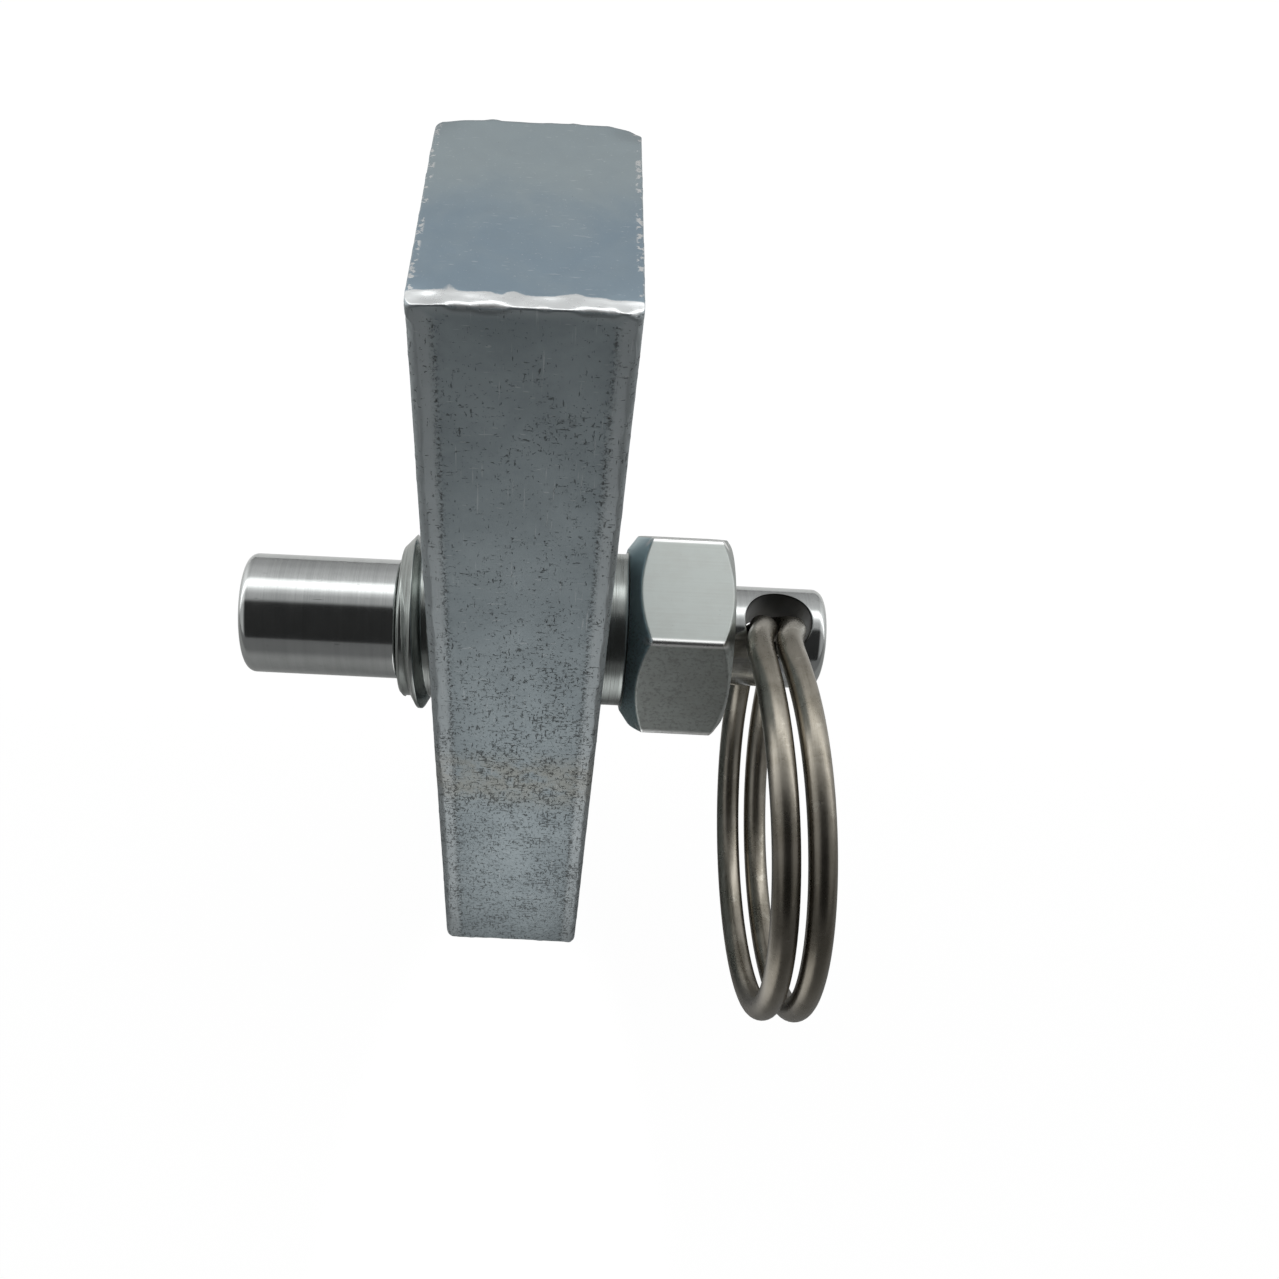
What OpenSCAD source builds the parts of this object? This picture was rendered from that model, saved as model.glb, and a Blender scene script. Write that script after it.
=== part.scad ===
// Weld-on spring-loaded locking pin: a flat bar block, a threaded plunger
// body screwed through it, a sprung pin and a two-turn split ring to pull it by.
// The pin lies along X with its nose towards -X. The block stands along Z.
// The origin is the middle of the block's rear weld face, level with the pin.

/* [Block] */
// Thickness of the bar, along the pin
block_thick = 16; // [14:0.5:18]
// Depth of the bar, from the front edge to the weld face
block_deep = 25; // [22:0.5:30]
// Length of the bar
block_long = 90; // [60:1:140]
// Radius of the bar's four long edges
block_edge = 0.8; // [0.4:0.1:1.5]

/* [Plunger body] */
// Crest diameter of the M18 thread
thread_major = 17.9; // [17.7:0.05:18]
// Root diameter of the thread, and of the neck beside the hexagon
thread_minor = 15.3; // [15:0.1:15.6]
// Pitch of the M18 coarse thread
thread_pitch = 2.5; // [2:0.5:2.5]
// How far the thread stands out of the block on the nose side
thread_stub = 3.9; // [2:0.1:6]
// Length of bare neck between the block and the hexagon
neck_gap = 2.4; // [1:0.1:4]
// Width of the hexagon across its flats
hex_flats = 19; // [18.5:0.5:22]
// Length of the hexagon
hex_long = 9.9; // [9:0.1:14]
// Turn of the hexagon about the pin's axis
hex_turn = 47; // [0:1:59]

/* [Pin and pull end] */
// Diameter of the locking nose
nose_dia = 12; // [11:0.1:12.4]
// Length of nose that stands out of the thread at rest
nose_out = 15.7; // [12:0.1:20]
// How far the pin pulls back
pull_travel = 12; // [8:0.5:12]
// Diameter of the pin's stem, inside the spring
stem_dia = 7; // [6.6:0.1:7.6]
// Diameter of the pull end
pull_dia = 10; // [9.5:0.1:10.4]
// Length of pull end that stands out of the hexagon at rest
pull_out = 9.7; // [9.6:0.1:14]
// Diameter of the cross-hole for the split ring
eye_dia = 6.4; // [6.3:0.1:6.6]
// Height of the cross-hole's axis above the front horizontal, in degrees
eye_rise = 68; // [30:1:90]

/* [Split ring] */
// Outer diameter of the split ring
ring_outer = 40; // [39.8:0.1:41]
// Diameter of the ring's wire
ring_wire = 2.5; // [2.2:0.1:2.5]
// Distance between the ring's two turns, middle to middle
ring_pitch = 3.1; // [2.9:0.05:3.15]

/* [Spring] */
// Diameter of the spring's wire
spring_wire = 1.1; // [0.8:0.1:1.1]
// Outer diameter of the spring
spring_outer = 11.5; // [10.8:0.1:11.6]
// Number of coils, the closed end coils included
spring_coils = 5.5; // [4.5:0.5:5.5]

/* [Hidden] */
$fn = 96;

slide_clear = 0.05;
cut = 1;

// Stations along the pin, from the block's middle plane
pin_y = -block_deep / 2;
block_left = -block_thick / 2;
block_right = block_thick / 2;
body_front = block_left - thread_stub;
neck_start = block_right - 1.5;
hex_front = block_right + neck_gap;
hex_back = hex_front + hex_long;

// Thread form: flat crests and roots joined by 60 degree flanks
crest_r = thread_major / 2;
root_r = thread_minor / 2;
flank = (crest_r - root_r) * tan(30);
crest_flat = thread_pitch / 8;
first_crest = body_front - 0.55;
crest_count = floor((neck_start - first_crest) / thread_pitch);
thread_clear = 0.06;
hole_lead = 0.9;

// Chamfers of the hexagon, as cones that rise from an inner radius
hex_corner_r = hex_flats / 2 / cos(30);
hex_cone_slope = 0.72;
front_cone_r = hex_flats / 2 - 1.3;
back_cone_r = hex_flats / 2 - 0.3;

// The bore from the nose side, the wall behind the spring and the pull end's seat
bore_r = nose_dia / 2 + slide_clear;
seat_deep = 5;
wall_thick = 3;
seat_x = hex_back - seat_deep;
wall_x = seat_x - wall_thick;
stem_hole_r = stem_dia / 2 + slide_clear;
seat_r = pull_dia / 2 + 0.1;
seat_lead = 0.4;

// The pin
nose_tip = body_front - nose_out;
nose_round = 0.9;
relief_front = body_front - 0.25;
relief_back = body_front + 0.65;
relief_deep = 0.3;
squeezed_spring = spring_coils * spring_wire + 0.75;
shoulder_x = wall_x - pull_travel - squeezed_spring;
tail_r = 3;
tail_long = 5.6;
pull_back = hex_back + pull_out;
pull_round = 1;
socket_spare = 0.15;
eye_x = pull_back - 4.85;

// The split ring, in the frame of its cross-hole: local Z runs along the hole
ring_r = (ring_outer - ring_wire) / 2;
ring_reach = ring_r - 0.65;
ring_tilt = 10;
ring_drift = 0.44;
ring_lean = -1.1;
ring_skew = 0.22;
mouth_bend = 1.95;
exit_bend = -0.8;
bend_at = 14;
mouth_pinch = 0.36 * (ring_pitch - ring_wire - 0.1);
pinch_at = 25;
pinch_span = 35;
ring_first = 12;
ring_last = 707;
ring_steps = 96;
ring_sides = 12;

// The spring
spring_r = (spring_outer - spring_wire) / 2;
spring_gap = 0.05;
closed_coils = 0.8;
spring_front = shoulder_x + spring_wire / 2 + spring_gap;
spring_back = wall_x - spring_wire / 2 - spring_gap;
steps_per_coil = 16;
spring_sides = 8;

// Places children that are drawn along Z onto the pin's axis, along X
module on_pin() {
  translate([0, pin_y, 0]) rotate([0, 90, 0]) children();
}

// Solid rod on the pin's axis from station x1 to x2
module rod(x1, x2, r) {
  on_pin() translate([0, 0, x1]) cylinder(h = x2 - x1, r = r);
}

// Cone on the pin's axis from radius r1 at station x1 to r2 at x2
module cone(x1, x2, r1, r2) {
  on_pin() translate([0, 0, x1]) cylinder(h = x2 - x1, r1 = r1, r2 = r2);
}

// Half outline of a rod of radius r from x1 to x2, its far end rounded by f
module round_end_outline(x1, x2, r, f) {
  translate([0, x1]) square([r, x2 - x1 - f]);
  translate([0, x1]) square([r - f, x2 - x1]);
  translate([r - f, x2 - f]) circle(r = f);
}

// Half outline of a threaded rod, grown outwards by clear
module thread_outline(x1, x2, clear) {
  intersection() {
    union() {
      translate([0, x1]) square([root_r + clear, x2 - x1]);
      for (i = [0 : crest_count]) {
        thread_ridge(first_crest + i * thread_pitch, clear);
      }
    }
    translate([0, x1]) square([crest_r + clear, x2 - x1]);
  }
}

// One ridge of the thread, with its crest at station x
module thread_ridge(x, clear) {
  half_crest = crest_flat / 2 + clear * tan(30);
  half_root = half_crest + flank;
  polygon([
    [root_r + clear - cut, x - half_root],
    [root_r + clear, x - half_root],
    [crest_r + clear, x - half_crest],
    [crest_r + clear, x + half_crest],
    [root_r + clear, x + half_root],
    [root_r + clear - cut, x + half_root]
  ]);
}

// Outline of the bar across its length, with round corners
module bar_outline() {
  inner_x = block_thick / 2 - block_edge;
  inner_y = block_deep / 2 - block_edge;
  square([block_thick, 2 * inner_y], center = true);
  square([2 * inner_x, block_deep], center = true);
  for (sx = [-1, 1], sy = [-1, 1]) {
    translate([sx * inner_x, sy * inner_y]) circle(r = block_edge);
  }
}

module mounting_block() {
  color([0.62, 0.66, 0.7])
  difference() {
    translate([0, pin_y, -block_long / 2]) linear_extrude(block_long) bar_outline();
    on_pin() rotate_extrude() thread_outline(block_left - cut, block_right + cut, thread_clear);
    rod(neck_start, block_right + cut, crest_r + thread_clear);
    cone(block_left - cut, block_left + hole_lead, crest_r + hole_lead + cut, crest_r);
    cone(block_right - hole_lead, block_right + cut, crest_r, crest_r + hole_lead + cut);
  }
}

module hexagon() {
  intersection() {
    translate([0, pin_y, 0]) rotate([hex_turn, 0, 0]) rotate([0, 90, 0])
      translate([0, 0, hex_front]) cylinder(h = hex_long, r = hex_corner_r, $fn = 6);
    on_pin() rotate_extrude() hexagon_turning();
  }
}

// Half outline that turns the chamfers onto both ends of the hexagon
module hexagon_turning() {
  outer_r = hex_corner_r + cut;
  polygon([
    [0, hex_front],
    [front_cone_r, hex_front],
    [outer_r, hex_front + (outer_r - front_cone_r) * hex_cone_slope],
    [outer_r, hex_back - (outer_r - back_cone_r) * hex_cone_slope],
    [back_cone_r, hex_back],
    [0, hex_back]
  ]);
}

module plunger_body() {
  lead = crest_r - root_r;
  color([0.75, 0.77, 0.78])
  difference() {
    union() {
      on_pin() rotate_extrude() intersection() {
        thread_outline(body_front, neck_start, 0);
        polygon([
          [0, body_front],
          [root_r, body_front],
          [root_r + lead + cut, body_front + lead + cut],
          [root_r + lead + cut, neck_start],
          [0, neck_start]
        ]);
      }
      rod(neck_start - cut, hex_front + cut, root_r);
      hexagon();
    }
    rod(body_front - cut, wall_x, bore_r);
    rod(wall_x - cut, seat_x + cut, stem_hole_r);
    rod(seat_x, hex_back + cut, seat_r);
    cone(hex_back - seat_lead, hex_back + cut, seat_r, seat_r + seat_lead + cut);
  }
}

// The nose has a shallow groove at the bore's mouth, which parts its free length from the guided one
module locking_pin() {
  color([0.6, 0.61, 0.63])
  union() {
    difference() {
      translate([0, pin_y, 0]) rotate([0, -90, 0]) rotate_extrude()
        round_end_outline(-shoulder_x, -nose_tip, nose_dia / 2, nose_round);
      difference() {
        rod(relief_front, relief_back, nose_dia);
        rod(relief_front - cut, relief_back + cut, nose_dia / 2 - relief_deep);
      }
    }
    rod(shoulder_x - cut, seat_x + slide_clear, stem_dia / 2);
    rod(seat_x, seat_x + slide_clear + tail_long, tail_r);
  }
}

module pull_end() {
  front = seat_x + slide_clear;
  color([0.7, 0.71, 0.73])
  difference() {
    on_pin() rotate_extrude() round_end_outline(front, pull_back, pull_dia / 2, pull_round);
    rod(front - cut, front + tail_long + socket_spare, tail_r + slide_clear);
    at_eye() cylinder(h = 2 * pull_dia, d = eye_dia, center = true);
  }
}

// Frame of the cross-hole: local Z runs along the hole, up and to the front
module at_eye() {
  translate([eye_x, pin_y, 0]) rotate([90 - eye_rise, 0, 0]) children();
}

// Wire of the given radius and number of sides swept along a path.
// out holds one unit vector a point, roughly square to the path.
module wire_along(path, out, r, sides) {
  last = len(path) - 1;
  points = [
    for (i = [0 : last])
      let (
        ahead = path[min(i + 1, last)] - path[max(i - 1, 0)],
        along = ahead / norm(ahead),
        side = cross(along, out[i]),
        u = side / norm(side),
        v = cross(u, along)
      )
      for (k = [0 : sides - 1]) path[i] + r * (cos(360 * k / sides) * v + sin(360 * k / sides) * u)
  ];
  walls = [
    for (i = [0 : last - 1], k = [0 : sides - 1])
      let (n = (k + 1) % sides)
      [i * sides + k, i * sides + n, (i + 1) * sides + n, (i + 1) * sides + k]
  ];
  first_cap = [for (k = [sides - 1 : -1 : 0]) k];
  last_cap = [for (k = [0 : sides - 1]) last * sides + k];
  polyhedron(points = points, faces = concat([first_cap], walls, [last_cap]), convexity = 8);
}

// Turn of a ring angle away from the nearest pass through the hole
function from_eye(a) = a - 360 * round(a / 360);

// Bump of the given height where the ring bends at the hole's mouth or exit
function bend(a, at, height) = height * exp(-pow((from_eye(a) - at) / bend_at, 2));

// Shift that draws the two turns together below the hole's mouth
function pinch(a) = mouth_pinch * cos(a / 2) * exp(-pow((from_eye(a) - pinch_at) / pinch_span, 2));

// Offset of the ring's wire along the pin: a helix, leaning, bent at the hole
function ring_x(a) = ring_drift + ring_pitch * (a / 360 - 1) + ring_lean * cos(a) + ring_skew * sin(a)
  + bend(a, bend_at, mouth_bend) + bend(a, -bend_at, exit_bend) + pinch(a);

function ring_out(a) = [0, cos(a + ring_tilt), sin(a + ring_tilt)];

function ring_point(a) = [ring_x(a), 0, 0] + ring_r * ring_out(a)
  - ring_reach * [0, cos(ring_tilt), sin(ring_tilt)];

module split_ring() {
  angles = [for (i = [0 : ring_steps]) ring_first + (ring_last - ring_first) * i / ring_steps];
  color([0.36, 0.34, 0.31])
  at_eye() wire_along(
    [for (a = angles) ring_point(a)],
    [for (a = angles) ring_out(a)],
    ring_wire / 2,
    ring_sides
  );
}

// Share of the spring's length at coil t: flat end coils and an even middle
function spring_share(t) =
  let (
    active = spring_coils - 2 * closed_coils,
    closed_share = closed_coils * (spring_wire + spring_gap) / (spring_back - spring_front),
    open_share = 1 - 2 * closed_share
  )
  t < closed_coils ? t / closed_coils * closed_share
  : t > spring_coils - closed_coils ? 1 - (spring_coils - t) / closed_coils * closed_share
  : closed_share + (t - closed_coils) / active * open_share;

module return_spring() {
  count = round(spring_coils * steps_per_coil);
  coils = [for (i = [0 : count]) i / steps_per_coil];
  color([0.5, 0.5, 0.52])
  translate([0, pin_y, 0]) wire_along(
    [for (t = coils) [
      spring_front + (spring_back - spring_front) * spring_share(t),
      spring_r * cos(360 * t),
      spring_r * sin(360 * t)
    ]],
    [for (t = coils) [0, cos(360 * t), sin(360 * t)]],
    spring_wire / 2,
    spring_sides
  );
}

mounting_block();
plunger_body();
locking_pin();
return_spring();
pull_end();
split_ring();
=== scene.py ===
import math
import bmesh
import bpy
import numpy as np
from mathutils import Matrix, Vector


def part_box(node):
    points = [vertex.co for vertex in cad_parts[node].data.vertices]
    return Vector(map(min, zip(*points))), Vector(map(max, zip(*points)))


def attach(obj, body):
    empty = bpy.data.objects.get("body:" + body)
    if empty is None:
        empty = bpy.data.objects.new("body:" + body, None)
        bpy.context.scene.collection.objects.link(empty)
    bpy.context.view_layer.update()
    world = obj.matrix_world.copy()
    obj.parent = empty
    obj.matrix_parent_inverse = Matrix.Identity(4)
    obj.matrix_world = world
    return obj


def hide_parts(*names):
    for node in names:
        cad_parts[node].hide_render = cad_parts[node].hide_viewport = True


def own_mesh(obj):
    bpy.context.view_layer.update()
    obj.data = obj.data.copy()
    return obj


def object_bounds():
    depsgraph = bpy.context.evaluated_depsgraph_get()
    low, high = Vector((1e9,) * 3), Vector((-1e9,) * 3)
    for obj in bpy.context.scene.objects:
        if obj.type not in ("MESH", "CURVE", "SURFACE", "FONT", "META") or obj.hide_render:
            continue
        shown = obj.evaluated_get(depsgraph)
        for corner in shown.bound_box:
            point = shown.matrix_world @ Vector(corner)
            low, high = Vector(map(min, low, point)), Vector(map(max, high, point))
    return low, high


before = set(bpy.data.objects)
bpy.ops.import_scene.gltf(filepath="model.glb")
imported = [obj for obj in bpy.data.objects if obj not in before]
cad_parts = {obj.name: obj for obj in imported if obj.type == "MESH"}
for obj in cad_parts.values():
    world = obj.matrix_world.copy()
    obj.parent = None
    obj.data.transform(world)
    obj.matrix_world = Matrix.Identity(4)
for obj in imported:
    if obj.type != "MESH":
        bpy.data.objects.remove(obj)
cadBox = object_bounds()
mm = 0.001


# camera, at the angle that shows the block's front and top and the plunger from above
cameraValues = {
    "at": (0.002426, -0.094952, 0.091475),
    "down": 53.006,     # degrees below the horizon
    "turn": 0.988,      # degrees about Z
    "roll": 2.036,      # degrees about the line of sight
    "lens": 33.966,
    "sensor": 36.0,
    "shift": (0.08763, 0.07246),
}


def placeCamera(values):
    # looks along +Y, tips down, turns about Z and rolls about its own line of sight
    tip = Matrix.Rotation(math.radians(90 - values["down"]), 4, "X")
    turn = Matrix.Rotation(math.radians(values["turn"]), 4, "Z")
    roll = Matrix.Rotation(math.radians(values["roll"]), 4, "Z")
    data = bpy.data.cameras.new("viewCamera")
    data.sensor_width = values["sensor"]
    data.lens = values["lens"]
    data.shift_x, data.shift_y = values["shift"]
    data.clip_start = 0.005
    camera = bpy.data.objects.new("viewCamera", data)
    bpy.context.scene.collection.objects.link(camera)
    camera.matrix_world = Matrix.Translation(values["at"]) @ turn @ tip @ roll
    bpy.context.scene.camera = camera


placeCamera(cameraValues)
bpy.context.scene.view_settings.view_transform = "Standard"
print("camera placed")


class Sock:
    # one shader socket; arithmetic on it adds Math nodes to the same tree
    def __init__(self, tree, socket):
        self.tree = tree
        self.socket = socket

    def maths(self, operation, first, second=0.0, clamp=False):
        node = self.tree.nodes.new("ShaderNodeMath")
        node.operation = operation
        node.use_clamp = clamp
        feed(self.tree, first, node.inputs[0])
        feed(self.tree, second, node.inputs[1])
        return Sock(self.tree, node.outputs[0])

    def __add__(self, other):
        return self.maths("ADD", self, other)

    def __radd__(self, other):
        return self.maths("ADD", other, self)

    def __sub__(self, other):
        return self.maths("SUBTRACT", self, other)

    def __rsub__(self, other):
        return self.maths("SUBTRACT", other, self)

    def __mul__(self, other):
        return self.maths("MULTIPLY", self, other)

    def __rmul__(self, other):
        return self.maths("MULTIPLY", other, self)

    def __truediv__(self, other):
        return self.maths("DIVIDE", self, other)

    def larger(self, other):
        return self.maths("MAXIMUM", self, other)

    def clamped(self):
        return self.maths("ADD", self, 0.0, clamp=True)


def feed(tree, value, socket):
    # a wrapped socket is linked, anything else becomes the socket's own value
    if isinstance(value, Sock):
        tree.links.new(value.socket, socket)
    elif socket.type == "RGBA" and len(value) == 3:
        socket.default_value = (*value, 1.0)
    else:
        socket.default_value = value


def setStops(ramp, stops):
    while len(ramp.elements) > 1:
        ramp.elements.remove(ramp.elements[-1])
    for place, (position, level) in enumerate(stops):
        element = ramp.elements[0] if place == 0 else ramp.elements.new(position)
        element.position = position
        element.color = (level, level, level, 1.0)


class Finish:
    # one material, or the world, while its nodes are being added
    def __init__(self, owner):
        owner.use_nodes = True
        self.owner = owner
        self.tree = owner.node_tree
        self.tree.nodes.clear()

    def node(self, kind, settings=None, values=None, out=0):
        # settings are set first, then sockets by name or number
        node = self.tree.nodes.new(kind)
        for key, value in (settings or {}).items():
            if key == "stops":
                setStops(node.color_ramp, value)
            else:
                setattr(node, key, value)
        for key, value in (values or {}).items():
            feed(self.tree, value, node.inputs[key])
        return Sock(self.tree, node.outputs[out])

    def coords(self, scale=(1, 1, 1), turn=(0, 0, 0)):
        where = self.node("ShaderNodeTexCoord", out="Object")
        return self.node("ShaderNodeMapping", values={"Vector": where, "Scale": scale, "Rotation": turn})

    def wrap(self, scale=(1, 1, 1)):
        where = self.node("ShaderNodeUVMap", {"uv_map": "wrap"})
        return self.node("ShaderNodeMapping", values={"Vector": where, "Scale": scale})

    def noise(self, where, scale, detail=2.0, rough=0.5, warp=0.0):
        return self.node("ShaderNodeTexNoise", values={
            "Vector": where, "Scale": scale, "Detail": detail, "Roughness": rough, "Distortion": warp})

    def between(self, value, low, high):
        # eases from 0 to 1 while value goes from low to high
        return self.node("ShaderNodeMapRange", {"interpolation_type": "SMOOTHSTEP"}, {
            0: value, 1: low, 2: high})

    def mix(self, factor, first, second):
        return self.node("ShaderNodeMix", {"data_type": "RGBA"}, {0: factor, 6: first, 7: second}, out=2)

    def carried(self, name):
        return self.node("ShaderNodeAttribute", {"attribute_name": name}, out=2)

    def part(self, vector, axis):
        return self.node("ShaderNodeSeparateXYZ", values={0: vector}, out=axis)

    def bump(self, height, distance, strength):
        return self.node("ShaderNodeBump", values={
            "Height": height, "Distance": distance, "Strength": strength})

    def surface(self, values):
        self.output(self.node("ShaderNodeBsdfPrincipled", values=values))
        return self.owner

    def output(self, shader, kind="ShaderNodeOutputMaterial"):
        last = self.tree.nodes.new(kind)
        self.tree.links.new(shader.socket, last.inputs["Surface"])


def latticeNoise(points, size, seed):
    # smooth noise from -1 to 1: random values at lattice corners, eased between them
    table = np.random.default_rng(seed).uniform(-1, 1, (32, 32, 32))
    scaled = points / size
    cell = np.floor(scaled).astype(int)
    part = scaled - cell
    part = part * part * (3 - 2 * part)
    total = np.zeros(scaled.shape[:-1])
    for corner in range(8):
        step = np.array([corner & 1, corner >> 1 & 1, corner >> 2 & 1])
        weight = np.prod(np.where(step == 1, part, 1 - part), axis=-1)
        spot = (cell + step) % 32
        total += weight * table[spot[..., 0], spot[..., 1], spot[..., 2]]
    return total


def layeredNoise(points, size, seed, layers=3):
    # layers of noise, each half the size and half the height of the one before
    return sum(latticeNoise(points, size / 2 ** k, seed + k) / 2 ** k for k in range(layers))


def ease(value, low, high):
    # 0 below low, 1 above high, smooth between
    t = np.clip((value - low) / (high - low), 0, 1)
    return t * t * (3 - 2 * t)


def softMin(a, b, width):
    # the smaller of two values, rounded off where they come within width of each other
    near = np.clip(width - np.abs(a - b), 0, None) / width
    return np.minimum(a, b) - near * near * width / 4


def gridMesh(name, points, wrapRows, fields=None, lengths=None):
    # quads over a grid of points (rows, columns, 3) in mm: columns close round, rows close if wrapRows
    rows, columns = points.shape[:2]
    row = np.arange(rows if wrapRows else rows - 1)[:, None]
    column = np.arange(columns)[None, :]
    after = (row + 1) % rows
    beside = (column + 1) % columns
    faces = np.stack([row * columns + column, row * columns + beside,
                      after * columns + beside, after * columns + column], -1).reshape(-1, 4)
    flat = points.reshape(-1, 3) * mm
    a, b, c, d = (flat[faces[:, k]] for k in range(4))
    volume = np.einsum("ij,ij->", a, np.cross(b, c)) + np.einsum("ij,ij->", a, np.cross(c, d))
    if volume < 0:
        faces = faces[:, ::-1]
    mesh = bpy.data.meshes.new(name)
    mesh.vertices.add(len(flat))
    mesh.vertices.foreach_set("co", flat.astype(np.float32).ravel())
    mesh.loops.add(faces.size)
    mesh.loops.foreach_set("vertex_index", np.ascontiguousarray(faces, np.int32).ravel())
    mesh.polygons.add(len(faces))
    mesh.polygons.foreach_set("loop_start", np.arange(len(faces), dtype=np.int32) * 4)
    mesh.polygons.foreach_set("use_smooth", np.ones(len(faces), bool))
    mesh.update(calc_edges=True)
    if lengths is not None:
        spans = np.append(lengths, 2 * lengths[-1] - lengths[-2])
        u = np.stack([column, column + 1, column + 1, column], -1) / columns + 0 * row[..., None]
        v = np.stack([spans[row], spans[row], spans[row + 1], spans[row + 1]], -1) + 0 * column[..., None]
        wrap = np.stack([u, v], -1).reshape(len(faces), 4, 2)
        if volume < 0:
            wrap = wrap[:, ::-1]
        mesh.uv_layers.new(name="wrap").data.foreach_set("uv", wrap.astype(np.float32).ravel())
    for key, values in (fields or {}).items():
        attribute = mesh.attributes.new(key, "FLOAT", "POINT")
        attribute.data.foreach_set("value", values.astype(np.float32).ravel())
    if not wrapRows:
        shell = bmesh.new()
        shell.from_mesh(mesh)
        bmesh.ops.remove_doubles(shell, verts=shell.verts, dist=1e-7)
        shell.to_mesh(mesh)
        shell.free()
    mesh.validate()
    piece = bpy.data.objects.new(name, mesh)
    bpy.context.scene.collection.objects.link(piece)
    return piece


def settle(piece, material, body, node):
    piece.data.materials.append(material)
    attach(piece, body)
    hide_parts(node)
    print(piece.name, "made with", len(piece.data.polygons), "faces")


def run(start, end, count, crowd=0.0):
    # values from start to end without the end; crowd packs them towards both ends
    t = np.arange(count) / count
    t = t - crowd * np.sin(2 * np.pi * t) / (2 * np.pi)
    return start + (end - start) * t


def line(start, end, count):
    # points (station, radius) on a straight line, without the last
    return np.stack([run(start[0], end[0], count), run(start[1], end[1], count)], -1)


def arc(centre, radius, start, end, count):
    # points (station, radius) on an arc, angles in degrees from +station, without the last
    angle = np.radians(run(start, end, count))
    return np.stack([centre[0] + radius * np.cos(angle), centre[1] + radius * np.sin(angle)], -1)


def spin(profile, columns):
    # each (station, radius) becomes a circle about the pin's axis
    angle = np.arange(columns) * 2 * np.pi / columns
    station = profile[:, 0, None] + 0 * angle
    reach = profile[:, 1, None]
    return np.stack([station, pinY + reach * np.cos(angle), reach * np.sin(angle)], -1)


def sweep(path, out, radius, columns):
    # circles of the given radii square to the path; out is a unit vector per point, roughly square to it
    ahead = np.gradient(path, axis=0)
    along = ahead / np.linalg.norm(ahead, axis=1, keepdims=True)
    side = np.cross(along, out)
    side = side / np.linalg.norm(side, axis=1, keepdims=True)
    rise = np.cross(side, along)
    angle = np.arange(columns)[None, :, None] * 2 * np.pi / columns
    circle = np.cos(angle) * rise[:, None] + np.sin(angle) * side[:, None]
    return path[:, None] + radius[:, None, None] * circle


pinBox = [[c / mm for c in corner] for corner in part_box("locking_pin")]
blockBox = [[c / mm for c in corner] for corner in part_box("mounting_block")]
bodyBox = [[c / mm for c in corner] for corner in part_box("plunger_body")]
pullBox = [[c / mm for c in corner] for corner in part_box("pull_end")]
pinY = (blockBox[0][1] + blockBox[1][1]) / 2


# the bar block, in mm
blockValues = {
    "half": (blockBox[1][0], blockBox[1][1] - pinY, blockBox[1][2]),
    "longEdges": ((1.15, 1.4), (0.95, 2.2)),    # rounding of the long edges: left front and back, right
    "sideEdge": 0.1,
    "topEdge": 0.35,      # rounding of the sheared ends' edges
    "footEdge": 1.1,
    "corner": 0.9,
    "hole": 8.95,
    "lead": 0.9,
    "ripple": 0.05,
    "nicks": 0.16,
    "jag": 0.4,
    "blunt": (((-8, 12.5), 0.45), ((8, 12.5), 0.8), ((8, -12.5), 0.2), ((-8, -12.5), 0.2)),
    "bluntReach": 3.5,    # how far from a corner its blunting reaches
    "lipDrop": 0.2,
}


def barOutline(half, corner, longCount, shortCount, cornerCount):
    # a rectangle with round corners in the YZ plane, as points and outward normals
    y, z = half[1] - corner, half[2] - corner
    runs = []
    for k, (cy, cz) in enumerate([(y, z), (-y, z), (-y, -z), (y, -z)]):
        angle = np.radians(90 * k + run(0, 90, cornerCount))
        normal = np.stack([np.cos(angle), np.sin(angle)], -1)
        runs.append((np.array([cy, cz]) + corner * normal, normal))
        following = [(-y, z), (-y, -z), (y, -z), (y, z)][k]
        flatNormal = np.array([[0, 1], [-1, 0], [0, -1], [1, 0]][k], float)
        count = shortCount if k % 2 == 0 else longCount
        t = run(0, 1, count, 0.5)[:, None]
        straight = (1 - t) * np.array([cy, cz]) + t * np.array(following) + corner * flatNormal
        runs.append((straight, flatNormal + 0 * straight))
    return np.concatenate([r[0] for r in runs]), np.concatenate([r[1] for r in runs])


def sectionRows(values):
    # weights of each row of the block's section: mouth and inner share, edge share, then x as
    # end * half thickness + bend * edge radius + sink
    f = 1 - (1 - run(0, 1, 34)) ** 1.7
    turn = np.radians(run(0, 90, 6))
    w = 1.15 * run(1, -1, 46) - 0.15 * run(1, -1, 46) ** 3
    wall = values["hole"] / (values["hole"] + values["lead"])
    lead = values["lead"]
    legs = [
        [1 - f, f, 0 * f, 1 + 0 * f, 0 * f, 0 * f],
        [0 * turn, 1 + 0 * turn, np.sin(turn), 1 + 0 * turn, np.cos(turn) - 1, 0 * turn],
        [0 * w, 1 + 0 * w, 1 + 0 * w, w, -w, 0 * w],
        [0 * turn, 1 + 0 * turn, np.cos(turn), 0 * turn - 1, 1 - np.sin(turn), 0 * turn],
        [1 - f[::-1], f[::-1], 0 * f, 0 * f - 1, 0 * f, 0 * f],
        [[wall, wall], [0, 0], [0, 0], [-1, 1], [0, 0], [lead, -lead]],
    ]
    return np.concatenate([np.array(leg, float) for leg in legs], axis=1)[:, :, None]


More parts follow.
